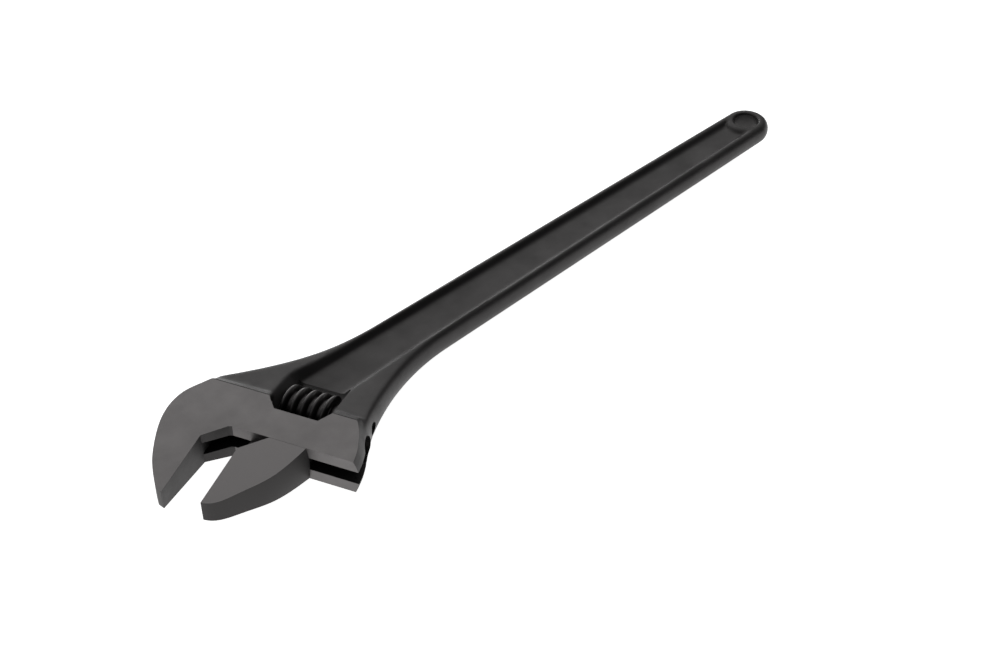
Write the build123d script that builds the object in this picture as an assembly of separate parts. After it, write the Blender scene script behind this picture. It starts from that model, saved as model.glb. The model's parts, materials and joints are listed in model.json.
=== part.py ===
from build123d import *
import os
from math import atan, cos, degrees, pi, radians, sin

# A large adjustable wrench with its head set at an angle to the handle.
#
# It is drawn in the throat frame, in millimetres: +X along the rail that the
# movable jaw slides on, in the direction that opens the jaws, +Y back towards
# the handle and +Z up out of the upper face. The origin is where the fixed
# gripping face meets the line of the rail, halfway through the thickness.
# place() then lays the handle along +X and stands the wrench on z = 0.

# ---------------------------------------------------------------- driving dimensions
HEAD_ANGLE = 22.5           # the handle leans this much from square to the rail
HANDLE_START_X = 21.57      # where the handle's axis crosses the rail
HANG_HOLE_DISTANCE = 522.5  # along the handle's axis, from the rail to the hang hole
HANG_HOLE_RADIUS = 10.0
END_RADIUS = 18.3           # half the handle's width at the hang hole
END_HALF_THICKNESS = 7.7

GROUND_HALF_THICKNESS = 13.76   # at the rail
GROUND_SLOPE = 0.092            # the two ground faces open towards the handle
GROUND_REAR_Y = 33.5            # where the ground faces end
SIDE_BULGE = 5.0                # how far the forged sides stand out at mid-height

JAW_OPENING = 28.5          # at rest
HEAD_REACH = 18.0               # half the height of the forged head, before grinding

GRIP_FRONT_Y = -65.2        # the fixed jaw's tip
JAW_TIP_Y = -64.1           # the movable jaw's
GRIP_REAR_Y = -14.3         # the gripping face ends in a 45 degree facet
RAIL_START_X = 15.9
RAIL_END_X = 102.8

RACK_Y = 26.0               # axis of the rack and of its bore
RACK_BORE_RADIUS = 9.3
RACK_RADIUS = 9.2
SLOT_HALF_WIDTH = 5.25      # the slot that the movable jaw's neck slides in
NECK_HALF_WIDTH = 5.1

RACK_FRONT_X = -6.0         # both ends of the rack from the movable gripping face
RACK_REAR_X = 46.0
TOOTH_GAP = 0.35            # round the worm's ridge where it runs in the rack

WORM_Y = 46.2               # axis of the worm and its pin
WORM_CREST_RADIUS = 14.6
WORM_ROOT_RADIUS = 10.5
WORM_LEAD = 7.47            # left-hand, one start
RIDGE_START_X = 25.16       # where the ridge, run on past the worm's end, crosses the rack's side
HUB_RADIUS = 8.0            # the plain end of the worm, away from the spring
HUB_LENGTH = 4.2
WORM_BORE_RADIUS = 4.05
RIDGE_CREST_WIDTH = 2.2
RIDGE_ROOT_WIDTH = 4.6
COUNTERBORE_RADIUS = 7.2    # holds the spring
COUNTERBORE_DEPTH = 9.0
PIN_RADIUS = 4.0
PIN_HEAD_RADIUS = 4.5
PIN_START_X = 18.5
PIN_END_X = 91.5
SPRING_RADIUS = 5.9
SPRING_WIRE_RADIUS = 0.6
SPRING_PITCH = 2.8
SPRING_END_GAP = 0.05

WINDOW_LEFT_X = 31.0
WINDOW_RIGHT_X = 71.0
WINDOW_FRONT_Y = 24.0
WINDOW_REAR_Y = 65.0
WINDOW_LEFT_CORNER = (34.5, 29.5)   # x and y where the window's two front corners are cut off
WINDOW_RIGHT_CORNER = (67.2, 29.7)
END_PLAY = 0.2              # between the worm and the window
WORM_START_X = WINDOW_LEFT_X + END_PLAY
RIDGE_END_X = WINDOW_RIGHT_X - END_PLAY - HUB_LENGTH

RECESS_FLOOR_Z = 4.2        # half the web's thickness
SLIDE_GAP = 0.15            # between the movable jaw and the rail

# ---------------------------------------------------------------- directions of the handle
LEAN = radians(HEAD_ANGLE)
HANDLE_DIR = Vector(sin(LEAN), cos(LEAN), 0)
ACROSS_DIR = Vector(cos(LEAN), -sin(LEAN), 0)
HANDLE_START = Vector(HANDLE_START_X, 0, 0)

# The straight part of the handle tapers to its end. The neck flares out of it
# on two arcs, a smaller one on the rail's side, and thickens towards the head.
WIDTH_TAPER = 0.0118        # half-width gained for each millimetre towards the head
THICKNESS_TAPER = 0.0042
LEFT_FLARE_RADIUS = 215.0
LEFT_FLARE_END = 137.0      # distances from the rail where the flares begin
LEFT_FLARE_MAX = 30.0
RIGHT_FLARE_RADIUS = 164.0
RIGHT_FLARE_END = 167.0
RIGHT_FLARE_MAX = 45.6
HEAD_SWELL_RADIUS = 80.0    # the right side swells once more just behind the head
HEAD_SWELL_END = 75.0
NECK_EXTRA_THICKNESS = 4.9
NECK_THICK_AT = 10.0        # full extra thickness here, and none past the next
NECK_THIN_AT = 110.0
NECK_STATIONS = [4 + 30 * i for i in range(7)]

# The recess in each face of the handle, inside its rounded edges
RECESS_MARGIN = 9.3         # from the handle's edge to the recess's floor
RECESS_WALL_LEAN = 0.8      # how far a wall leans out for each millimetre up
RECESS_START = 54.0
RECESS_WIDENS_FROM = 130.0


def half_width(distance):
    """Half the width of the handle, without the neck's flare."""
    return END_RADIUS + WIDTH_TAPER * (HANG_HOLE_DISTANCE - distance)


def flare(distance, end, radius):
    """How far a tangent arc has left the straight edge."""
    return max(0.0, end - distance) ** 2 / (2 * radius)


def half_thickness(distance):
    """Half the thickness of the handle, easing up to the neck's."""
    share = min(1.0, max(0.0, (NECK_THIN_AT - distance) / (NECK_THIN_AT - NECK_THICK_AT)))
    eased = share * share * (3 - 2 * share)
    straight = END_HALF_THICKNESS + THICKNESS_TAPER * (HANG_HOLE_DISTANCE - distance)
    return straight + NECK_EXTRA_THICKNESS * eased


def handle_plane(distance):
    """The plane square to the handle: x across it, y up."""
    return Plane(HANDLE_START + HANDLE_DIR * distance, x_dir=ACROSS_DIR, z_dir=-HANDLE_DIR)


def prism(points, low_z, high_z):
    """A straight block on a plan outline."""
    face = make_face(Polyline(*points, close=True))
    return Pos(0, 0, low_z) * extrude(face, high_z - low_z)


def barrel(outline, reach, heights=(-1.0, -0.5, 0.0, 0.5, 1.0)):
    """Loft a block whose sides stand out at mid-height.

    outline(share) gives the plan wire with the forged edges moved out by that
    share of the bulge, and reach is half the block's height."""
    sections = [Pos(0, 0, h * reach) * make_face(outline(1 - h * h)) for h in heights]
    return loft(sections)


def moved_out(points, share):
    """Plan points, each given as (x, y, out_x, out_y) for the full bulge."""
    return [(x + out_x * share, y + out_y * share) for x, y, out_x, out_y in points]


# ---------------------------------------------------------------- the body
def head_outline(share):
    """Plan of the ground head: fixed jaw, rail and both forged sides."""
    left = moved_out([
        (0, GRIP_FRONT_Y, 0, 0),
        (-5.0, -63.0, -0.5, -0.5),
        (-19.7, -39.9, -2.2, -1.0),
        (-30.9, -9.0, -3.8, -0.4),
        (-30.0, 13.8, -4.6, 1.8),
        (-18.2, GROUND_REAR_Y, -4.4, 0),
    ], share)
    right = moved_out([
        (90.7, GROUND_REAR_Y, 10.3, 0),
        (96.2, 24.2, 7.2, 0),
        (101.2, 10.6, 6.2, 0),
        (RAIL_END_X, 0.0, 6.4, 0),
    ], share)
    facet_end = (RAIL_START_X - 2.5, GRIP_REAR_Y + RAIL_START_X - 2.5)
    return (
        Spline(*left)
        + Line(left[-1], right[0])
        + Spline(*right)
        + Polyline(
            right[-1], (RAIL_START_X, 0), facet_end, (0, GRIP_REAR_Y), (0, GRIP_FRONT_Y)
        )
    )


def head_block():
    """The thick ground part of the head, notched where the window opens."""
    block = barrel(head_outline, HEAD_REACH)
    notch = prism(
        [
            (25.0, GROUND_REAR_Y + 1), (28.0, 30.8), (WINDOW_LEFT_CORNER[0], WINDOW_FRONT_Y),
            (WINDOW_RIGHT_CORNER[0], WINDOW_FRONT_Y), (74.2, GROUND_REAR_Y + 1),
        ],
        -30, 30,
    )
    return block - notch


def handle_section(distance):
    """A flat-topped section with rounded sides."""
    half = half_thickness(distance)
    left_flare = min(LEFT_FLARE_MAX, flare(distance, LEFT_FLARE_END, LEFT_FLARE_RADIUS))
    left = -half_width(distance) - left_flare
    right_flare = flare(distance, RIGHT_FLARE_END, RIGHT_FLARE_RADIUS)
    right_flare += flare(distance, HEAD_SWELL_END, HEAD_SWELL_RADIUS)
    right = half_width(distance) + min(RIGHT_FLARE_MAX, right_flare)
    top = Line((left + SIDE_BULGE, half), (right - SIDE_BULGE, half))
    bottom = Line((right - SIDE_BULGE, -half), (left + SIDE_BULGE, -half))
    right_side = ThreePointArc(top @ 1, (right, 0), bottom @ 0)
    left_side = ThreePointArc(bottom @ 1, (left, 0), top @ 0)
    return handle_plane(distance) * make_face(top + right_side + bottom + left_side)


def handle_bar():
    """The neck and handle, ending in a round eye."""
    sections = [handle_section(distance) for distance in NECK_STATIONS]
    straight = loft([sections[-1], handle_section(HANG_HOLE_DISTANCE)], ruled=True)
    bar = loft(sections) + straight
    inner = END_RADIUS - SIDE_BULGE
    half = END_HALF_THICKNESS
    top = Line((0, half), (inner, half))
    side = ThreePointArc((inner, half), (END_RADIUS, 0), (inner, -half))
    back = Polyline((inner, -half), (0, -half), (0, half))
    profile = handle_plane(HANG_HOLE_DISTANCE) * make_face(top + side + back)
    eye_axis = Axis(HANDLE_START + HANDLE_DIR * HANG_HOLE_DISTANCE, (0, 0, 1))
    eye = revolve(profile, eye_axis, 180)
    return bar + eye


def recess():
    """The long shallow recess in the upper face, ending at the eye's ring."""
    top_z = 20.0
    lean = RECESS_WALL_LEAN * (top_z - RECESS_FLOOR_Z)
    sections = []
    for distance in (RECESS_START, 80.0, 105.0, RECESS_WIDENS_FROM, HANG_HOLE_DISTANCE):
        floor_half = half_width(distance) - RECESS_MARGIN
        right = floor_half + max(0.0, RECESS_WIDENS_FROM - distance) ** 2 / 3000
        corners = [
            (-floor_half, RECESS_FLOOR_Z), (right, RECESS_FLOOR_Z),
            (right + lean, top_z), (-floor_half - lean, top_z),
        ]
        sections.append(handle_plane(distance) * make_face(Polyline(*corners, close=True)))
    centre = HANDLE_START + HANDLE_DIR * HANG_HOLE_DISTANCE
    ring_height = top_z - RECESS_FLOOR_Z
    ring = Cone(END_RADIUS - 0.8, END_RADIUS - 9.0, ring_height + 1)
    return loft(sections, ruled=True) - Pos(centre.X, centre.Y, RECESS_FLOOR_Z + ring_height / 2) * ring


def ground_wedge():
    """The space between the two ground planes, from the tips to past the handle."""
    front_y = -80.0
    rear_y = 620.0
    front = GROUND_HALF_THICKNESS + GROUND_SLOPE * front_y
    rear = GROUND_HALF_THICKNESS + GROUND_SLOPE * rear_y
    side = Polyline((front_y, front), (rear_y, rear), (rear_y, -rear), (front_y, -front), close=True)
    return extrude(Plane.YZ.offset(-200) * make_face(side), 600)


def along_x(radius, start_x, end_x, y):
    """A round bar parallel to the rail at mid-thickness."""
    bar = Cylinder(radius, end_x - start_x)
    return Pos((start_x + end_x) / 2, y, 0) * Rot(0, 90, 0) * bar


def body_cuts():
    """Everything machined out of the forging."""
    far_x = 140.0
    bore = along_x(RACK_BORE_RADIUS, -8.0, far_x, RACK_Y)
    slot = prism(
        [(0, -30), (far_x, -30), (far_x, RACK_Y), (0, RACK_Y)], -SLOT_HALF_WIDTH, SLOT_HALF_WIDTH
    )
    window = prism(
        [
            (WINDOW_LEFT_CORNER[0], WINDOW_FRONT_Y), (WINDOW_RIGHT_CORNER[0], WINDOW_FRONT_Y),
            (WINDOW_RIGHT_X, WINDOW_RIGHT_CORNER[1]), (WINDOW_RIGHT_X, WINDOW_REAR_Y),
            (WINDOW_LEFT_X, WINDOW_REAR_Y), (WINDOW_LEFT_X, WINDOW_LEFT_CORNER[1]),
        ],
        -30, 30,
    )
    pin_hole = along_x(PIN_RADIUS, 18.0, 50.0, WORM_Y) + along_x(PIN_HEAD_RADIUS, 50.0, far_x, WORM_Y)
    centre = HANDLE_START + HANDLE_DIR * HANG_HOLE_DISTANCE
    hang_hole = Pos(centre.X, centre.Y, 0) * Cylinder(HANG_HOLE_RADIUS, 40)
    return [bore, slot, window, pin_hole, hang_hole, recess(), mirror(recess(), Plane.XY)]


def make_body():
    """The forged and ground body: fixed jaw, head, neck and handle in one piece."""
    throat = prism(
        [
            (0, -100), (200, -100), (200, 0), (RAIL_START_X, 0),
            (RAIL_START_X - 2.5, GRIP_REAR_Y + RAIL_START_X - 2.5), (0, GRIP_REAR_Y),
        ],
        -40, 40,
    )
    blank = (head_block() + (handle_bar() - throat)) & ground_wedge()
    for cut in body_cuts():
        blank -= cut
    return blank


# ---------------------------------------------------------------- the movable jaw
def jaw_outline(share):
    """Plan of the movable jaw's head, with its forged back and spare metal on the grip."""
    back = moved_out([
        (-1.0, JAW_TIP_Y, 0, -0.2),
        (5.1, -62.7, 0.4, -0.4),
        (18.9, -47.8, 1.0, -0.8),
        (30.7, -30.4, 2.0, -1.0),
        (38.1, -11.7, 2.6, -0.6),
        (41.5, -SLIDE_GAP, 2.6, 0),
    ], share)
    spare_x = back[0][0]
    facet_y = GRIP_REAR_Y - 1.2
    corner_x = -SLIDE_GAP - facet_y
    facet = [(corner_x, -SLIDE_GAP), (spare_x, facet_y + spare_x)]
    return Spline(*back) + Polyline(back[-1], *facet, back[0])


def rack_teeth_gaps():
    """Straight slanted grooves that the worm's ridge runs in."""
    depth_y = WORM_Y - WORM_CREST_RADIUS - 0.35
    mouth_y = RACK_Y + RACK_RADIUS
    floor_half = RIDGE_CREST_WIDTH / 2 + TOOTH_GAP
    mouth_half = ridge_half_width(WORM_Y - mouth_y) + TOOTH_GAP
    far_y = mouth_y + 3.0
    far_half = mouth_half + (mouth_half - floor_half) * 3.0 / (mouth_y - depth_y)
    profile = [(-floor_half, depth_y), (floor_half, depth_y), (far_half, far_y), (-far_half, far_y)]
    groove = prism(profile, -14, 14)
    slant = degrees(atan(WORM_LEAD / (2 * pi * (WORM_Y - mouth_y + 1.2))))
    first = RIDGE_START_X - JAW_OPENING - 8 * WORM_LEAD
    middles = [first + i * WORM_LEAD for i in range(20)]
    return [
        Pos(x, 0, 0) * Rot(0, slant, 0) * groove
        for x in middles
        if RACK_FRONT_X - 4 < x < RACK_REAR_X + 4
    ]


def make_jaw():
    """The movable jaw: gripping head, neck plate and round toothed rack."""
    in_front_of_grip = prism([(0, -90), (60, -90), (60, 10), (0, 10)], -30, 30)
    head = (barrel(jaw_outline, HEAD_REACH) & ground_wedge()) & in_front_of_grip
    neck = prism(
        [(0.6, GRIP_REAR_Y - 1.0), (14.5, -2.0), (42.0, -2.0), (42.0, RACK_Y), (0.6, RACK_Y)],
        -NECK_HALF_WIDTH, NECK_HALF_WIDTH,
    )
    rack = along_x(RACK_RADIUS, RACK_FRONT_X, RACK_REAR_X, RACK_Y)
    for gap in rack_teeth_gaps():
        rack -= gap
    return Pos(JAW_OPENING, 0, 0) * (head + neck + rack)


# ---------------------------------------------------------------- the worm, its pin and its spring
def ridge_half_width(radius):
    """Half the ridge's width at a distance from the worm's axis."""
    share = (radius - WORM_ROOT_RADIUS) / (WORM_CREST_RADIUS - WORM_ROOT_RADIUS)
    return (RIDGE_ROOT_WIDTH + (RIDGE_CREST_WIDTH - RIDGE_ROOT_WIDTH) * share) / 2


def make_worm():
    """The knurl: a core with one left-hand ridge and a plain hub, bored for its pin."""
    path = Helix(WORM_LEAD, RIDGE_END_X + WORM_LEAD - RIDGE_START_X, WORM_CREST_RADIUS, lefthand=True)
    inner = WORM_ROOT_RADIUS - 0.6
    inner_half = ridge_half_width(inner)
    crest_half = RIDGE_CREST_WIDTH / 2
    rounding = 0.5
    ridge_profile = Plane.XZ * make_face(
        Polyline(
            (inner, -inner_half), (WORM_CREST_RADIUS - rounding, -crest_half - 0.1),
            (WORM_CREST_RADIUS, rounding - crest_half), (WORM_CREST_RADIUS, crest_half - rounding),
            (WORM_CREST_RADIUS - rounding, crest_half + 0.1), (inner, inner_half), close=True,
        )
    )
    axis_plane = Plane((RIDGE_START_X, WORM_Y, 0), x_dir=(0, -1, 0), z_dir=(1, 0, 0))
    ridge = axis_plane * sweep(ridge_profile, path, is_frenet=True)
    ridge &= along_x(WORM_CREST_RADIUS + 2, WORM_START_X, RIDGE_END_X, WORM_Y)
    core = along_x(WORM_ROOT_RADIUS, WORM_START_X, RIDGE_END_X, WORM_Y)
    hub = along_x(HUB_RADIUS, RIDGE_END_X, RIDGE_END_X + HUB_LENGTH, WORM_Y)
    bore = along_x(WORM_BORE_RADIUS, WORM_START_X - 1, WINDOW_RIGHT_X, WORM_Y)
    counterbore = along_x(
        COUNTERBORE_RADIUS, WORM_START_X - 1, WORM_START_X + COUNTERBORE_DEPTH, WORM_Y
    )
    return core + ridge + hub - bore - counterbore


def make_pin():
    """The pin the worm turns on, with a slotted head that closes its hole."""
    shank = along_x(PIN_RADIUS, PIN_START_X, WINDOW_RIGHT_X, WORM_Y)
    head = along_x(PIN_HEAD_RADIUS, WINDOW_RIGHT_X, PIN_END_X, WORM_Y)
    driver_slot = Pos(PIN_END_X, WORM_Y, 0) * Box(3.0, 2 * PIN_HEAD_RADIUS + 2, 1.4)
    return shank + head - driver_slot


def make_spring():
    """The spring in the worm's counterbore that takes up its end play."""
    reach = SPRING_WIRE_RADIUS + SPRING_END_GAP
    length = WORM_START_X + COUNTERBORE_DEPTH - WINDOW_LEFT_X - 2 * reach
    path = Helix(SPRING_PITCH, length, SPRING_RADIUS)
    wire = Plane.XZ * Pos(SPRING_RADIUS, 0) * Circle(SPRING_WIRE_RADIUS)
    coil = sweep(wire, path, is_frenet=True)
    start = Plane((WINDOW_LEFT_X + reach, WORM_Y, 0), x_dir=(0, -1, 0), z_dir=(1, 0, 0))
    return start * coil


# ---------------------------------------------------------------- all pieces, in the wrench's own frame
def build_nodes():
    """Every piece in the throat frame, by name."""
    return {
        "wrench_body": make_body(),
        "movable_jaw": make_jaw(),
        "adjusting_worm": make_worm(),
        "worm_pin": make_pin(),
        "worm_spring": make_spring(),
    }


def place(nodes):
    """The move that lays the handle along +X with the box's bottom centre at the origin."""
    turn = Rot(0, 0, HEAD_ANGLE - 90)
    box = Compound([turn * shape for shape in nodes.values()]).bounding_box()
    centre = box.center()
    return Pos(-centre.X, -centre.Y, -box.min.Z) * turn


if __name__ == "__main__":
    os.makedirs("parts", exist_ok=True)
    nodes = build_nodes()
    move = place(nodes)
    for name, shape in nodes.items():
        export_step(move * shape, f"parts/{name}.step")
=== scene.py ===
import json
from math import cos, pi, radians, sin, tau

import bmesh
import bpy
from mathutils import Matrix, Vector


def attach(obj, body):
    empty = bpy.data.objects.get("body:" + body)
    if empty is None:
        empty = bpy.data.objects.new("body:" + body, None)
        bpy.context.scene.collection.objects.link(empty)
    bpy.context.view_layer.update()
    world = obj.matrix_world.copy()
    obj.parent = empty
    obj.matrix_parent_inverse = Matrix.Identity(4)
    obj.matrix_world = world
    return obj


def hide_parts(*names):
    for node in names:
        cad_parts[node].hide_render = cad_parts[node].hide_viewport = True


# A large adjustable wrench: the body is forged as one soft-edged blank, then
# machined, as the real one is. Everything is drawn in the throat frame, in
# millimetres: +X along the rail, +Y back to the handle, +Z up, with the origin
# where the fixed gripping face meets the rail. TO_ROW moves it to the row frame.

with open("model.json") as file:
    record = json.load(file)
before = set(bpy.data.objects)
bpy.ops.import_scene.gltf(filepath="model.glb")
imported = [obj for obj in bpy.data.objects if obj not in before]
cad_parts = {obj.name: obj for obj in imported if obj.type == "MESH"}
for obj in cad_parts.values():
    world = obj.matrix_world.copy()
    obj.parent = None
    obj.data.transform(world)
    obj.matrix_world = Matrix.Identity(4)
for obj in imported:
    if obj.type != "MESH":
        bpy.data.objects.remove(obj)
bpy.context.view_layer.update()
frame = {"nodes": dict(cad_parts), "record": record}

# ---------------------------------------------------------------- driving dimensions
HEAD_ANGLE = 22.5           # the handle leans this much from square to the rail
HANDLE_START_X = 21.57      # where the handle's axis crosses the rail
HANG_HOLE_DISTANCE = 522.5  # along the handle's axis, from the rail
HANG_HOLE_RADIUS = 10.0
HANG_HOLE_RIM = 1.8         # radius of the rolled rim
END_RADIUS = 18.3           # half the handle's width at the hang hole
END_HALF_THICKNESS = 7.7
WIDTH_TAPER = 0.0118        # growth of each half towards the head, per mm
THICKNESS_TAPER = 0.0042
SIDE_BULGE = 5.0            # how far the forged sides stand out at mid-height

# The neck spreads to the head by tangent arcs. Ends are distances from the rail.
LEFT_FLARE_RADIUS = 215.0
LEFT_FLARE_END = 137.0
LEFT_FLARE_MAX = 30.0
RIGHT_FLARE_RADIUS = 164.0
RIGHT_FLARE_END = 167.0
RIGHT_FLARE_MAX = 45.6
HEAD_SWELL_RADIUS = 80.0    # a tighter arc, added to the right-hand one
HEAD_SWELL_END = 75.0
NECK_START = 4.0            # inside the head
NECK_STEPS = 5              # from there to the recess
NECK_EXTRA_THICKNESS = 4.9  # on each side
NECK_THICK_AT = 10.0
NECK_THIN_AT = 110.0

RECESS_FLOOR_Z = 4.2        # half the web's thickness
RECESS_MARGIN = 9.3         # from the handle's edge to the recess's floor
RECESS_WALL_LEAN = 0.8      # of the recess's walls, per mm of height
RECESS_START = 29.0         # it begins beside the window
RECESS_WIDENS_FROM = 130.0
RECESS_WIDENING_RADIUS = 1500.0
RECESS_INTO_WINDOW = 0.5    # how far its left edge lies inside the window
RIM_LEAST_WIDTH = 0.1       # of the flat between the recess and the rounded side

GROUND_HALF_THICKNESS = 13.76   # at the rail
GROUND_SLOPE = 0.092            # the two ground faces open towards the handle
GROUND_REAR_Y = 33.5            # where they end
GRIP_FRONT_Y = -65.2            # the fixed jaw's tip
GRIP_REAR_Y = -14.3             # the gripping face ends in a 45 degree facet
FACET_WIDTH = 13.4
RAIL_START_X = 15.9
RAIL_END_X = 102.8

# The head's forged edges in plan: x and y at the faces, and how far they stand
# out at mid-height.
HEAD_LEFT = [
    (0, GRIP_FRONT_Y, 0, 0),
    (-5.0, -63.0, -0.5, -0.5),
    (-19.7, -39.9, -2.2, -1.0),
    (-30.9, -9.0, -3.8, -0.4),
    (-30.0, 13.8, -4.6, 1.8),
    (-18.2, GROUND_REAR_Y, -4.4, 0),
]
HEAD_RIGHT = [
    (90.7, GROUND_REAR_Y, 10.3, 0),
    (96.2, 24.2, 7.2, 0),
    (101.2, 10.6, 6.2, 0),
    (RAIL_END_X, 0.0, 6.4, 0),
]
HEAD_REACH = 18.0           # half the height of the forged head, before grinding
HEAD_LAYERS = (0.25, 0.5, 0.7, 0.78, 0.86, 0.935, 1.12)     # heights of its outlines, as shares of that
STEP_LENGTH = 6.5           # of the slope from the ground faces down to the neck
STEP_TOP_SHARE = 0.935      # the slope's top, as a share of the head's reach
STEP_HEIGHT_SHARE = 0.17    # its height, as a share of that too
STEP_DRAW_IN = 0.6          # how far its two ends draw in, per mm back
NOTCH_LEFT_X = 25.3         # where the head opens behind, to the window
NOTCH_RIGHT_X = 73.9
NOTCH_FRONT = [(28.0, 30.8), (31.5, 27.5), (69.5, 27.5)]
SPARE_METAL = 6.0           # left in the throat until it is cut
SPARE_CORNERS = [(24.0, -SPARE_METAL), (SPARE_METAL, -22.0)]

RACK_Y = 26.0               # axis of the rack's bore
RACK_BORE_RADIUS = 9.3
RACK_BORE_START_X = -8.0
SLOT_HALF_WIDTH = 5.25
PIN_RADIUS = 4.0
PIN_HEAD_RADIUS = 4.5
PIN_HOLE_START_X = 18.0
PIN_HEAD_START_X = 50.0
WINDOW_LEFT_X = 31.0
WINDOW_RIGHT_X = 71.0
WINDOW_FRONT_Y = 24.0
WINDOW_REAR_Y = 65.0
WINDOW_LEFT_CORNER = (34.5, 27.9)   # x and y where the window's two front corners are cut off
WINDOW_RIGHT_CORNER = (67.2, 29.7)

WORM_Y = 46.2               # axis of the worm and its pin
WORM_CREST_RADIUS = 14.6
WORM_ROOT_RADIUS = 10.5
WORM_LEAD = 7.47
WORM_BORE_RADIUS = 4.05
END_PLAY = 0.2              # between the worm and the window
RIDGE_START_X = 25.16       # where the ridge, run on past the worm's end, crosses the rack's side
RIDGE_HALF_WIDTH = 2.3
RIDGE_FULLNESS = 2.6        # a larger power makes the ridge squarer
RIDGE_ROUNDING = 0.75       # a smaller one makes its crest flatter
RIDGE_END_EASE = 0.8        # length over which the ridge dies away at the worm's ends
SHOULDER_LENGTH = 0.4       # between the ridge's end and the plain hub
SHOULDER_DROP = 0.5
HUB_RADIUS = 8.0
HUB_LENGTH = 4.2
HUB_CHAMFER = 0.6
COUNTERBORE_RADIUS = 7.2    # holds the spring
COUNTERBORE_DEPTH = 9.0
WORM_START_X = WINDOW_LEFT_X + END_PLAY
RIDGE_END_X = WINDOW_RIGHT_X - END_PLAY - HUB_LENGTH

# Fineness of the meshes.
VOXEL = 1.0                 # of the forged blank
SMOOTHING_ROUNDS = 9
RING_SPACING = 6.0          # along the handle
CURVE_STEPS = 8
RIM_STEPS = 6
ROUND_STEPS = 96
WORM_STEPS = 160            # round the worm
WORM_SLICES = 180           # along it

BODY_EDGE_ANGLE = 28        # sharper edges than this many degrees stay crisp
WORM_EDGE_ANGLE = 40

# How far cutters run, clear of the head on every side.
CUT_START_X = -60.0
CUT_END_X = 140.0
CUT_REACH_Y = 90.0
CUT_REACH_Z = 60.0

SHORTEST_EDGE = 0.005       # left on the machined body

# Tests for a face that grinding or milling has left.
SAME_DIRECTION = 0.9995     # cosine
SIDE_LEAN = 0.01
ON_PLANE = 0.02             # mm

# ---------------------------------------------------------------- frames
LEAN = radians(HEAD_ANGLE)
HANDLE_DIR = Vector((sin(LEAN), cos(LEAN), 0))
ACROSS_DIR = Vector((cos(LEAN), -sin(LEAN), 0))
HANDLE_START = Vector((HANDLE_START_X, 0, 0))
HANG_HOLE = HANDLE_START + HANDLE_DIR * HANG_HOLE_DISTANCE
TURN = Matrix.Rotation(LEAN - pi / 2, 4, "Z")
MM = 0.001


def mount_place(name):
    """Where the record says a mount is, in metres."""
    mounts = {mount["name"]: mount for mount in frame["record"]["mounts"]}
    return Vector(mounts[name]["pos_m"])


TO_ROW = Matrix.Translation(mount_place("hang_hole") - TURN @ (HANG_HOLE * MM)) @ TURN @ Matrix.Scale(MM, 4)


# ---------------------------------------------------------------- mesh helpers
def add_object(name, bm):
    """A new object from a bmesh drawn in the throat frame."""
    bmesh.ops.recalc_face_normals(bm, faces=bm.faces)
    mesh = bpy.data.meshes.new(name)
    bm.to_mesh(mesh)
    bm.free()
    obj = bpy.data.objects.new(name, mesh)
    bpy.context.scene.collection.objects.link(obj)
    return obj


def spaced(start, end, steps):
    """Evenly spaced values from start to end."""
    return [start + (end - start) * i / steps for i in range(steps + 1)]


def skin(bm, rings, closed_rings=False):
    """Join rings of points into a closed skin, capped at its ends unless the rings close up."""
    rows = [[bm.verts.new(point) for point in ring] for ring in rings]
    count = len(rows[0])
    pairs = list(zip(rows, rows[1:]))
    if closed_rings:
        pairs.append((rows[-1], rows[0]))
    for low, high in pairs:
        for i in range(count):
            j = (i + 1) % count
            bm.faces.new((low[i], low[j], high[j], high[i]))
    if not closed_rings:
        bm.faces.new(rows[0][::-1])
        bm.faces.new(rows[-1])


def prism(name, points, low_z, high_z):
    """A straight block on a plan outline."""
    bm = bmesh.new()
    skin(bm, [[(x, y, z) for x, y in points] for z in (low_z, high_z)])
    return add_object(name, bm)


def lathe(name, profile, matrix):
    """A round solid from (radius, height) points, about the matrix's z axis."""
    bm = bmesh.new()
    angles = spaced(0, tau, ROUND_STEPS)[:-1]
    rings = []
    for radius, height in profile:
        rings.append([matrix @ Vector((radius * cos(a), radius * sin(a), height)) for a in angles])
    skin(bm, rings)
    return add_object(name, bm)


def along_x(name, profile, y):
    """A round solid about a line parallel to the rail, from (radius, x) points."""
    matrix = Matrix.Translation((0, y, 0)) @ Matrix.Rotation(pi / 2, 4, "Y")
    return lathe(name, profile, matrix)


def apply_modifiers(obj):
    """Make the object's mesh what its modifiers show."""
    graph = bpy.context.evaluated_depsgraph_get()
    mesh = bpy.data.meshes.new_from_object(obj.evaluated_get(graph))
    obj.modifiers.clear()
    old = obj.data
    obj.data = mesh
    bpy.data.meshes.remove(old)


def cut(obj, cutter, operation="DIFFERENCE"):
    """Machine one solid with another, which is used up."""
    modifier = obj.modifiers.new("cut", "BOOLEAN")
    modifier.operation = operation
    modifier.solver = "MANIFOLD"
    modifier.object = cutter
    bpy.context.view_layer.update()
    apply_modifiers(obj)
    bpy.data.objects.remove(cutter)


def smooth_curve(points):
    """Plan points joined by a smooth curve through them all."""
    ends = [points[0] * 2 - points[1], *points, points[-1] * 2 - points[-2]]
    curve = []
    for before, start, end, after in zip(ends, ends[1:], ends[2:], ends[3:]):
        turn_in = (end - before) / 2
        turn_out = (after - start) / 2
        for t in spaced(0, 1, CURVE_STEPS)[:-1]:
            curve.append(
                start * (2 * t**3 - 3 * t**2 + 1) + turn_in * (t**3 - 2 * t**2 + t)
                + end * (3 * t**2 - 2 * t**3) + turn_out * (t**3 - t**2)
            )
    return curve + [points[-1]]


# ---------------------------------------------------------------- the forged blank
def half_width(distance):
    """Half the width of the handle, without the neck's flare."""
    return END_RADIUS + WIDTH_TAPER * (HANG_HOLE_DISTANCE - distance)


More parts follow.
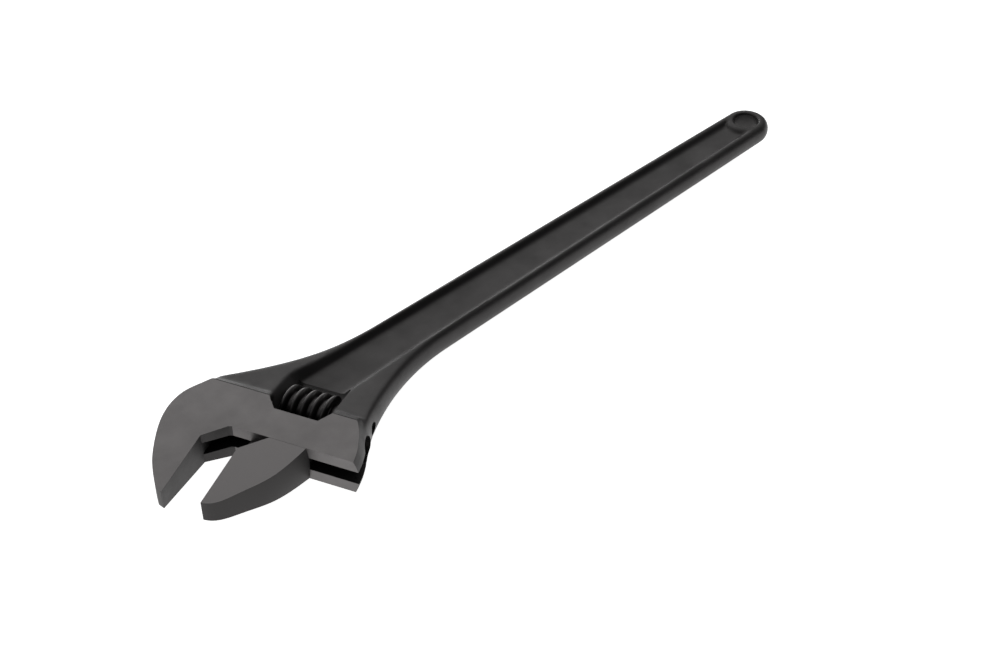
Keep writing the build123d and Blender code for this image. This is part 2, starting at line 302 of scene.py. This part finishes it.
def flare(distance, end, radius):
    """How far a tangent arc has left the straight edge."""
    return max(0.0, end - distance) ** 2 / (2 * radius)


def half_thickness(distance):
    """Half the thickness of the handle, easing up to the neck's."""
    share = min(1.0, max(0.0, (NECK_THIN_AT - distance) / (NECK_THIN_AT - NECK_THICK_AT)))
    eased = share * share * (3 - 2 * share)
    straight = END_HALF_THICKNESS + THICKNESS_TAPER * (HANG_HOLE_DISTANCE - distance)
    return straight + NECK_EXTRA_THICKNESS * eased


def side_points(edge, inward, half):
    """The rounded side from its edge at mid-height up to the crest."""
    angles = spaced(0, pi / 2, CURVE_STEPS)
    return [(edge + inward * SIDE_BULGE * (1 - cos(a)), half * sin(a)) for a in angles]


def handle_edges(distance):
    """Where the handle's left and right sides stand at mid-height."""
    left_flare = flare(distance, LEFT_FLARE_END, LEFT_FLARE_RADIUS)
    right_flare = flare(distance, RIGHT_FLARE_END, RIGHT_FLARE_RADIUS)
    right_flare += flare(distance, HEAD_SWELL_END, HEAD_SWELL_RADIUS)
    left = -half_width(distance) - min(LEFT_FLARE_MAX, left_flare)
    right = half_width(distance) + min(RIGHT_FLARE_MAX, right_flare)
    return left, right


def floor_edges(distance):
    """The left and right edges of the recess's floor. The left one keeps inside the window."""
    window_x = WINDOW_LEFT_X + RECESS_INTO_WINDOW
    beside_window = (window_x - HANDLE_START_X - distance * HANDLE_DIR.x) / ACROSS_DIR.x
    left = max(RECESS_MARGIN - half_width(distance), beside_window)
    right = half_width(distance) - RECESS_MARGIN
    right += flare(distance, RECESS_WIDENS_FROM, RECESS_WIDENING_RADIUS)
    return left, right


def handle_ring(distance):
    """The handle's cross-section at a distance along it, as throat-frame points."""
    half = half_thickness(distance)
    left, right = handle_edges(distance)
    floor_left, floor_right = floor_edges(distance)
    barely_sunk = half - 0.01
    floor_z = RECESS_FLOOR_Z if distance >= RECESS_START else barely_sunk
    lean = RECESS_WALL_LEAN * (half - RECESS_FLOOR_Z)
    rim_left = max(floor_left - lean, left + SIDE_BULGE + RIM_LEAST_WIDTH)
    rim_right = min(floor_right + lean, right - SIDE_BULGE - RIM_LEAST_WIDTH)
    upper = side_points(left, 1, half)
    upper += [(rim_left, half), (floor_left, floor_z), (floor_right, floor_z), (rim_right, half)]
    upper += side_points(right, -1, half)[::-1]
    lower = [(across, -z) for across, z in upper[-2:0:-1]]
    place = HANDLE_START + HANDLE_DIR * distance
    return [place + ACROSS_DIR * across + Vector((0, 0, z)) for across, z in upper + lower]


def handle_blank():
    """The neck and handle, with their recess."""
    neck = spaced(NECK_START, RECESS_START - 1, NECK_STEPS)
    bar_steps = int((HANG_HOLE_DISTANCE - RECESS_START) / RING_SPACING)
    bar = spaced(RECESS_START, HANG_HOLE_DISTANCE, bar_steps)
    bm = bmesh.new()
    skin(bm, [handle_ring(distance) for distance in neck + bar])
    return add_object("handle_blank", bm)


def eye_blank():
    """The round end of the handle, before its hole."""
    nearly_on_axis = 0.01
    upper = side_points(END_RADIUS, -1, END_HALF_THICKNESS) + [(nearly_on_axis, END_HALF_THICKNESS)]
    profile = [(radius, -z) for radius, z in upper[::-1]] + upper[1:]
    return lathe("eye_blank", profile, Matrix.Translation(HANG_HOLE))


def moved_out(points, share):
    """Plan points moved out by a share of their bulge."""
    return [Vector((x + out_x * share, y + out_y * share)) for x, y, out_x, out_y in points]


def head_outline(height):
    """The head's outline in plan, at a height given as a share of its reach."""
    bulge_share = 1 - height * height
    below_step = max(0.0, STEP_TOP_SHARE - abs(height))
    slope_back = min(STEP_LENGTH, below_step * STEP_LENGTH / STEP_HEIGHT_SHARE)
    tip, *back = moved_out(HEAD_LEFT, bulge_share)
    left = [tip, *smooth_curve(back)]
    left.append(left[-1] + Vector((STEP_DRAW_IN, 1)) * slope_back)
    right = smooth_curve(moved_out(HEAD_RIGHT, bulge_share))
    right.insert(0, right[0] + Vector((-STEP_DRAW_IN, 1)) * slope_back)
    rear_y = GROUND_REAR_Y + slope_back
    notch = [(NOTCH_LEFT_X, rear_y), *NOTCH_FRONT, (NOTCH_RIGHT_X, rear_y)]
    throat = [(right[-1].x, -SPARE_METAL), *SPARE_CORNERS, (SPARE_METAL, GRIP_FRONT_Y)]
    return [*left, *map(Vector, notch), *right, *map(Vector, throat)]


def head_blank():
    """The head before it is machined, with spare metal in the throat."""
    bm = bmesh.new()
    rings = []
    for height in [-layer for layer in HEAD_LAYERS[::-1]] + [0.0, *HEAD_LAYERS]:
        rings.append([(point.x, point.y, height * HEAD_REACH) for point in head_outline(height)])
    skin(bm, rings)
    return add_object("head_blank", bm)


def forged_blank():
    """Head, handle and eye merged and rounded, as the dies leave them."""
    blank = handle_blank()
    for part in (head_blank(), eye_blank()):
        cut(blank, part, "UNION")
    remesh = blank.modifiers.new("remesh", "REMESH")
    remesh.mode = "VOXEL"
    remesh.voxel_size = VOXEL
    smooth = blank.modifiers.new("smooth", "SMOOTH")
    smooth.factor = 0.5
    smooth.iterations = SMOOTHING_ROUNDS
    bpy.context.view_layer.update()
    apply_modifiers(blank)
    return blank


# ---------------------------------------------------------------- machining
def grinding_slab(side):
    """Everything above the upper ground face (side 1) or below the lower one (-1)."""
    ys = (-CUT_REACH_Y, GROUND_REAR_Y, CUT_REACH_Y)
    section = [(y, GROUND_HALF_THICKNESS + GROUND_SLOPE * min(y, GROUND_REAR_Y)) for y in ys]
    section += [(CUT_REACH_Y, CUT_REACH_Z), (-CUT_REACH_Y, CUT_REACH_Z)]
    bm = bmesh.new()
    skin(bm, [[(x, y, side * z) for y, z in section] for x in (CUT_START_X, CUT_END_X)])
    return add_object("slab", bm)


def hang_hole_cutter():
    """A round hole with rolled rims."""
    rim = HANG_HOLE_RIM
    half = END_HALF_THICKNESS
    angles = spaced(0, pi / 2, RIM_STEPS)
    upper = [(HANG_HOLE_RADIUS + rim * (1 - cos(a)), half - rim + rim * sin(a)) for a in angles]
    upper.append((HANG_HOLE_RADIUS + rim, CUT_REACH_Z))
    profile = [(radius, -z) for radius, z in upper[::-1]] + upper
    return lathe("hang_hole", profile, Matrix.Translation(HANG_HOLE))


def machine_body(body):
    """Grind the faces, then cut the throat, slot, bores and window."""
    throat = [
        (0, -CUT_REACH_Y), (CUT_END_X, -CUT_REACH_Y), (CUT_END_X, 0), (RAIL_START_X, 0),
        (FACET_WIDTH, GRIP_REAR_Y + FACET_WIDTH), (0, GRIP_REAR_Y),
    ]
    window = [
        (WINDOW_LEFT_CORNER[0], WINDOW_FRONT_Y), (WINDOW_RIGHT_CORNER[0], WINDOW_FRONT_Y),
        (WINDOW_RIGHT_X, WINDOW_RIGHT_CORNER[1]), (WINDOW_RIGHT_X, WINDOW_REAR_Y),
        (WINDOW_LEFT_X, WINDOW_REAR_Y), (WINDOW_LEFT_X, WINDOW_LEFT_CORNER[1]),
    ]
    slot = [(0, -CUT_REACH_Y), (CUT_END_X, -CUT_REACH_Y), (CUT_END_X, RACK_Y), (0, RACK_Y)]
    rack_bore = [(RACK_BORE_RADIUS, x) for x in (RACK_BORE_START_X, CUT_END_X)]
    pin_hole = [(PIN_RADIUS, x) for x in (PIN_HOLE_START_X, PIN_HEAD_START_X)]
    pin_hole += [(PIN_HEAD_RADIUS, x) for x in (PIN_HEAD_START_X, CUT_END_X)]
    cutters = [
        grinding_slab(1),
        grinding_slab(-1),
        prism("throat", throat, -CUT_REACH_Z, CUT_REACH_Z),
        along_x("bore", rack_bore, RACK_Y),
        prism("slot", slot, -SLOT_HALF_WIDTH, SLOT_HALF_WIDTH),
        prism("window", window, -CUT_REACH_Z, CUT_REACH_Z),
        along_x("pin_hole", pin_hole, WORM_Y),
        hang_hole_cutter(),
    ]
    for cutter in cutters:
        cut(body, cutter)


def is_ground_outside_painted_shade(face):
    """Whether a face of the body, in the throat frame, is one of the ground planes that keep the lighter
    finish: the two wedge faces and the rail. The milled gripping face and its facet are left out, so the
    dark forged colour on them is painted shade. The slot, bores and window walls take the forged colour
    too.
    """
    normal = face.normal
    middle = face.calc_center_median()
    wedge = Vector((0, -GROUND_SLOPE, 1)).normalized()
    facing = abs(Vector((0, normal.y, abs(normal.z))).dot(wedge)) > SAME_DIRECTION
    on_wedge = abs(abs(middle.z) - GROUND_HALF_THICKNESS - GROUND_SLOPE * middle.y) < ON_PLANE
    on_rail = abs(normal.y) > SAME_DIRECTION and abs(middle.y) < ON_PLANE
    return (facing and abs(normal.x) < SIDE_LEAN and on_wedge) or on_rail


def make_body():
    """The forged and machined body in place of the plain CAD one."""
    body = forged_blank()
    body.name = "forged_body"
    machine_body(body)
    body.data.materials.clear()
    bm = bmesh.new()
    bm.from_mesh(body.data)
    bmesh.ops.dissolve_degenerate(bm, edges=bm.edges, dist=SHORTEST_EDGE)
    # Only the wedge faces and the rail take the lighter ground finish. The milled gripping face and its
    # facet keep the forged colour as painted shade.
    for face in bm.faces:
        face.material_index = 1 if is_ground_outside_painted_shade(face) else 0
    bm.to_mesh(body.data)
    bm.free()
    body.data.transform(TO_ROW)
    shade(body, BODY_EDGE_ANGLE)
    body.data.materials.append(forged_steel_and_painted_shade())
    body.data.materials.append(ground_steel())
    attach(body, "frame")
    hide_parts("wrench_body")


def shade(obj, angle):
    """Smooth shading that keeps edges sharper than an angle crisp."""
    obj.data.shade_smooth()
    obj.data.set_sharp_from_angle(angle=radians(angle))


# ---------------------------------------------------------------- the worm
def worm_radius(x, angle):
    """The worm's radius, with a rounded ridge that dies away at both ends."""
    phase = ((x - RIDGE_START_X) / WORM_LEAD - angle / tau) % 1.0
    offset = min(phase, 1 - phase) * WORM_LEAD
    rounded = max(0.0, 1 - (offset / RIDGE_HALF_WIDTH) ** RIDGE_FULLNESS) ** RIDGE_ROUNDING
    end_gap = min(x - WORM_START_X, RIDGE_END_X - x)
    eased = min(1.0, max(0.0, end_gap / RIDGE_END_EASE)) ** 0.5
    return WORM_ROOT_RADIUS + (WORM_CREST_RADIUS - WORM_ROOT_RADIUS) * rounded * eased


def worm_ring(x, angles, radii):
    """A ring about the worm's axis, counted round from the rack's side."""
    return [(x, WORM_Y - r * cos(a), r * sin(a)) for a, r in zip(angles, radii)]


def make_worm():
    """The knurl the thumb turns, bored for its pin."""
    angles = spaced(0, tau, WORM_STEPS)[:-1]
    rings = []
    for x in spaced(WORM_START_X, RIDGE_END_X, WORM_SLICES):
        rings.append(worm_ring(x, angles, [worm_radius(x, a) for a in angles]))
    end_x = RIDGE_END_X + HUB_LENGTH
    spring_seat_x = WORM_START_X + COUNTERBORE_DEPTH
    shoulder_x = RIDGE_END_X + SHOULDER_LENGTH
    turned = [
        (shoulder_x, WORM_ROOT_RADIUS - SHOULDER_DROP), (shoulder_x, HUB_RADIUS),
        (end_x - HUB_CHAMFER, HUB_RADIUS), (end_x, HUB_RADIUS - HUB_CHAMFER),
        (end_x, WORM_BORE_RADIUS), (spring_seat_x, WORM_BORE_RADIUS),
        (spring_seat_x, COUNTERBORE_RADIUS), (WORM_START_X, COUNTERBORE_RADIUS),
    ]
    rings += [worm_ring(x, angles, [radius] * WORM_STEPS) for x, radius in turned]
    bm = bmesh.new()
    skin(bm, rings, closed_rings=True)
    worm = add_object("knurled_worm", bm)
    worm.data.transform(TO_ROW)
    shade(worm, WORM_EDGE_ANGLE)
    worm.data.materials.append(worm_steel())
    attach(worm, "worm")
    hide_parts("adjusting_worm")


# ---------------------------------------------------------------- materials
# The forged finish's dark grey. On the body's milled gripping face and its facet it is painted shade.
FORGED_DARK_AND_PAINTED_SHADE = 0.042
GROUND_LIGHT = 0.155
PIN_GREY = 0.06
SPRING_GREY = 0.12
STEEL_TINT = (1.0, 0.955, 0.95)     # the finish's faint purple-brown
GRINDING_LINES = (0.08, 3.0, 1.0)   # noise scale along the rail, across it and up
CURVED_BELOW = 0.985                # cosine to the nearest flat's direction
FLAT_ABOVE = 0.997


class Nodes:
    """A short way to build a node material."""

    def __init__(self, name):
        self.material = bpy.data.materials.new(name)
        self.material.use_nodes = True
        self.tree = self.material.node_tree
        self.shader = self.tree.nodes["Principled BSDF"]
        self.place = self.add("ShaderNodeTexCoord").outputs["Object"]

    def add(self, kind, operation=None, **inputs):
        node = self.tree.nodes.new(kind)
        if operation:
            node.operation = operation
        for name, value in inputs.items():
            node.inputs[name].default_value = value
        return node

    def link(self, source, target):
        self.tree.links.new(source, target)

    def drive(self, source, input_name):
        self.link(source, self.shader.inputs[input_name])

    def noise(self, scale, detail=4.0, roughness=0.55, stretch=None):
        node = self.add("ShaderNodeTexNoise", Scale=scale, Detail=detail, Roughness=roughness)
        source = self.place
        if stretch:
            mapping = self.add("ShaderNodeMapping", Scale=stretch, Rotation=(0, 0, LEAN - pi / 2))
            self.link(source, mapping.inputs["Vector"])
            source = mapping.outputs["Vector"]
        self.link(source, node.inputs["Vector"])
        return node.outputs["Fac"]

    def ramp(self, source, low, high, start=0.3, end=0.7):
        """Low colour up to the start, high colour from the end on."""
        node = self.add("ShaderNodeValToRGB")
        for element, position, colour in zip(node.color_ramp.elements, (start, end), (low, high)):
            element.position = position
            element.color = (*colour, 1)
        self.link(source, node.inputs["Fac"])
        return node.outputs["Color"]

    def bump(self, height, strength, distance, normal=None):
        node = self.add("ShaderNodeBump", Strength=strength, Distance=distance)
        self.link(height, node.inputs["Height"])
        if normal:
            self.link(normal, node.inputs["Normal"])
        return node.outputs["Normal"]

    def ground_lines(self):
        """Faint grinding lines along the rail, and a fine grain."""
        lines = self.bump(self.noise(260.0, 3.0, 0.6, GRINDING_LINES), 0.10, 0.0001)
        return self.bump(self.noise(1300.0, 2.0, 0.6), 0.12, 0.0001, lines)


def grey(value):
    """A dark grey with the finish's tint."""
    return tuple(value * part for part in STEEL_TINT)


def level(value):
    """The same value in all three channels."""
    return (value, value, value)


def forged_steel_and_painted_shade():
    """Dark phosphated forging: faint mottling and a fine blasted grain. On the body's milled gripping face
    and its facet the same dark colour is painted shade.
    """
    n = Nodes("forged_steel_and_painted_shade")
    n.drive(n.ramp(n.noise(38.0, 5.0), grey(FORGED_DARK_AND_PAINTED_SHADE * 0.85), grey(FORGED_DARK_AND_PAINTED_SHADE * 1.15)), "Base Color")
    n.shader.inputs["Metallic"].default_value = 0.75
    n.drive(n.ramp(n.noise(55.0, 3.0), level(0.40), level(0.50)), "Roughness")
    grain = n.bump(n.noise(1500.0, 2.0, 0.6), 0.22, 0.0002)
    n.drive(n.bump(n.noise(90.0, 2.0), 0.10, 0.0008, grain), "Normal")
    return n.material


def ground_steel():
    """Phosphated ground faces: lighter and smoother, and faintly clouded."""
    n = Nodes("ground_steel")
    n.drive(n.ramp(n.noise(60.0, 4.0), grey(GROUND_LIGHT * 0.92), grey(GROUND_LIGHT * 1.08)), "Base Color")
    n.shader.inputs["Metallic"].default_value = 0.8
    n.drive(n.ramp(n.noise(80.0, 3.0), level(0.36), level(0.46)), "Roughness")
    n.drive(n.ground_lines(), "Normal")
    return n.material


def flatness(n):
    """How nearly a face of the jaw faces the same way as one of its ground flats."""
    normal = n.add("ShaderNodeNewGeometry").outputs["True Normal"]
    best = None
    for direction in ((0, -GROUND_SLOPE, 1), (0, -GROUND_SLOPE, -1), (-1, 0, 0), (-1, -1, 0), (0, 1, 0)):
        facing = n.add("ShaderNodeVectorMath", "DOT_PRODUCT")
        n.link(normal, facing.inputs[0])
        facing.inputs[1].default_value = (TURN.to_3x3() @ Vector(direction)).normalized()
        if best is None:
            best = facing.outputs["Value"]
            continue
        larger = n.add("ShaderNodeMath", "MAXIMUM")
        n.link(best, larger.inputs[0])
        n.link(facing.outputs["Value"], larger.inputs[1])
        best = larger.outputs["Value"]
    return best


def jaw_steel():
    """Ground flats and grip, and a forged back."""
    n = Nodes("jaw_steel")
    flat = flatness(n)
    n.drive(n.ramp(flat, grey(FORGED_DARK_AND_PAINTED_SHADE), grey(GROUND_LIGHT), CURVED_BELOW, FLAT_ABOVE), "Base Color")
    n.shader.inputs["Metallic"].default_value = 0.8
    n.drive(n.ramp(flat, level(0.5), level(0.4), CURVED_BELOW, FLAT_ABOVE), "Roughness")
    n.drive(n.ground_lines(), "Normal")
    return n.material


def worm_steel():
    """Oiled dark turned steel."""
    n = Nodes("worm_steel")
    n.drive(n.ramp(n.noise(120.0, 4.0), grey(0.05), grey(0.085)), "Base Color")
    n.shader.inputs["Metallic"].default_value = 0.9
    n.shader.inputs["Roughness"].default_value = 0.30
    n.drive(n.bump(n.noise(900.0, 2.0, 0.5), 0.10, 0.0001), "Normal")
    return n.material


def plain_steel(name, value, roughness):
    """Turned or drawn steel for the small inner pieces."""
    n = Nodes(name)
    n.drive(n.ramp(n.noise(150.0, 3.0), grey(value * 0.85), grey(value * 1.15)), "Base Color")
    n.shader.inputs["Metallic"].default_value = 0.9
    n.shader.inputs["Roughness"].default_value = roughness
    n.drive(n.bump(n.noise(1200.0, 2.0), 0.1, 0.0001), "Normal")
    return n.material


def paint_cad_nodes():
    """Give the CAD pieces that stay their own finishes."""
    finishes = [
        ("movable_jaw", "jaw_steel", jaw_steel()),
        ("worm_pin", "pin_steel", plain_steel("pin_steel", PIN_GREY, 0.4)),
        ("worm_spring", "spring_steel", plain_steel("spring_steel", SPRING_GREY, 0.3)),
    ]
    for name, slot, material in finishes:
        node = frame["nodes"][name]
        node.data.materials.clear()
        node.data.materials.append(material)


# ---------------------------------------------------------------- camera and studio
CAMERA_PLACE = Vector((526.1, -720.1, 828.8))
CAMERA_YAW = -23.665        # degrees, from looking along the throat frame's +Y
CAMERA_PITCH = 40.493       # below the horizon
CAMERA_ROLL = -0.998
CAMERA_LENS = 64.6
SENSOR_WIDTH = 36.0
CLIP_RANGE = (0.05, 20.0)   # metres

DARK_SIDE = (0.80, -0.58, 0.12)     # the room is darkest this way, in the throat frame
ROOM_LIGHT = 0.36
ROOM_DARK = 0.02
ROOM_DARK_FROM = 0.8        # cosine to that direction
FLOOR_SIZE = 6.0            # metres to each side
FLOOR_DROP = 0.0005
FLOOR_GREY = 0.9
FLOOR_GLOW = 0.95
OVERHEAD_PLACE = Vector((0.15, 0.45, 1.4))      # in the row frame
BACK_PLACE = Vector((-550, 1250, 900))          # this and the next in the throat frame
RIM_PLACE = Vector((-1100, 1100, 260))
HANDLE_SPOT = (0.1, 0, 0)                       # where those two aim, in the row frame
OVERHEAD_POWER = 2.5
BACK_POWER = 4.0
RIM_POWER = 8.0


def make_camera():
    """The view: over the jaws, along the handle."""
    yaw = radians(CAMERA_YAW)
    pitch = radians(CAMERA_PITCH)
    roll = radians(CAMERA_ROLL)
    upward = Vector((0, 0, 1))
    ahead = Vector((sin(yaw), cos(yaw), 0))
    right = ahead.cross(upward)
    forward = ahead * cos(pitch) - upward * sin(pitch)
    up = ahead * sin(pitch) + upward * cos(pitch)
    axis_x = right * cos(roll) + up * sin(roll)
    axis_y = up * cos(roll) - right * sin(roll)
    turn = Matrix((axis_x, axis_y, -forward)).transposed().to_4x4()
    data = bpy.data.cameras.new("camera")
    data.lens = CAMERA_LENS
    data.sensor_width = SENSOR_WIDTH
    data.clip_start, data.clip_end = CLIP_RANGE
    camera = bpy.data.objects.new("camera", data)
    camera.matrix_world = Matrix.Translation(TO_ROW @ CAMERA_PLACE) @ TURN @ turn
    bpy.context.scene.collection.objects.link(camera)
    bpy.context.scene.camera = camera


def make_floor():
    """A plain pale floor that stays near white."""
    bm = bmesh.new()
    bmesh.ops.create_grid(bm, x_segments=1, y_segments=1, size=FLOOR_SIZE)
    floor = add_object("floor", bm)
    floor.location.z = -FLOOR_DROP
    n = Nodes("pale_floor")
    n.shader.inputs["Base Color"].default_value = (*level(FLOOR_GREY), 1)
    n.shader.inputs["Roughness"].default_value = 0.9
    n.shader.inputs["Specular IOR Level"].default_value = 0.0
    n.shader.inputs["Emission Color"].default_value = (1, 1, 1, 1)
    n.shader.inputs["Emission Strength"].default_value = FLOOR_GLOW
    floor.data.materials.append(n.material)


def area_light(name, place, target, size, power):
    """A soft rectangular light aimed at a point, sized in metres."""
    data = bpy.data.lights.new(name, "AREA")
    data.shape = "RECTANGLE"
    data.size, data.size_y = size
    data.energy = power
    light = bpy.data.objects.new(name, data)
    light.location = place
    light.rotation_euler = (Vector(target) - place).to_track_quat("-Z", "Y").to_euler()
    bpy.context.scene.collection.objects.link(light)


def make_room():
    """An evenly grey room that is darkest to one side."""
    world = bpy.data.worlds.new("studio")
    world.use_nodes = True
    bpy.context.scene.world = world
    nodes = world.node_tree.nodes
    links = world.node_tree.links
    place = nodes.new("ShaderNodeTexCoord")
    toward_dark = nodes.new("ShaderNodeVectorMath")
    toward_dark.operation = "DOT_PRODUCT"
    toward_dark.inputs[1].default_value = (TURN.to_3x3() @ Vector(DARK_SIDE)).normalized()
    fade = nodes.new("ShaderNodeValToRGB")
    fade.color_ramp.interpolation = "EASE"
    stops = ((0.0, ROOM_LIGHT), (ROOM_DARK_FROM, ROOM_DARK))
    for element, (position, brightness) in zip(fade.color_ramp.elements, stops):
        element.position = position
        element.color = (*level(brightness), 1)
    links.new(place.outputs["Generated"], toward_dark.inputs[0])
    links.new(toward_dark.outputs["Value"], fade.inputs["Fac"])
    links.new(fade.outputs["Color"], nodes["Background"].inputs["Color"])
    nodes["Background"].inputs["Strength"].default_value = 1.0


def make_studio():
    """The room, and three soft lights above and behind."""
    bpy.context.scene.view_settings.view_transform = "Standard"
    make_room()
    area_light("overhead", OVERHEAD_PLACE, (0, 0, 0), (1.6, 1.2), OVERHEAD_POWER)
    area_light("back", TO_ROW @ BACK_PLACE, HANDLE_SPOT, (1.6, 0.8), BACK_POWER)
    area_light("rim", TO_ROW @ RIM_PLACE, HANDLE_SPOT, (1.8, 0.4), RIM_POWER)


make_camera()
make_floor()
make_studio()
make_body()
make_worm()
paint_cad_nodes()
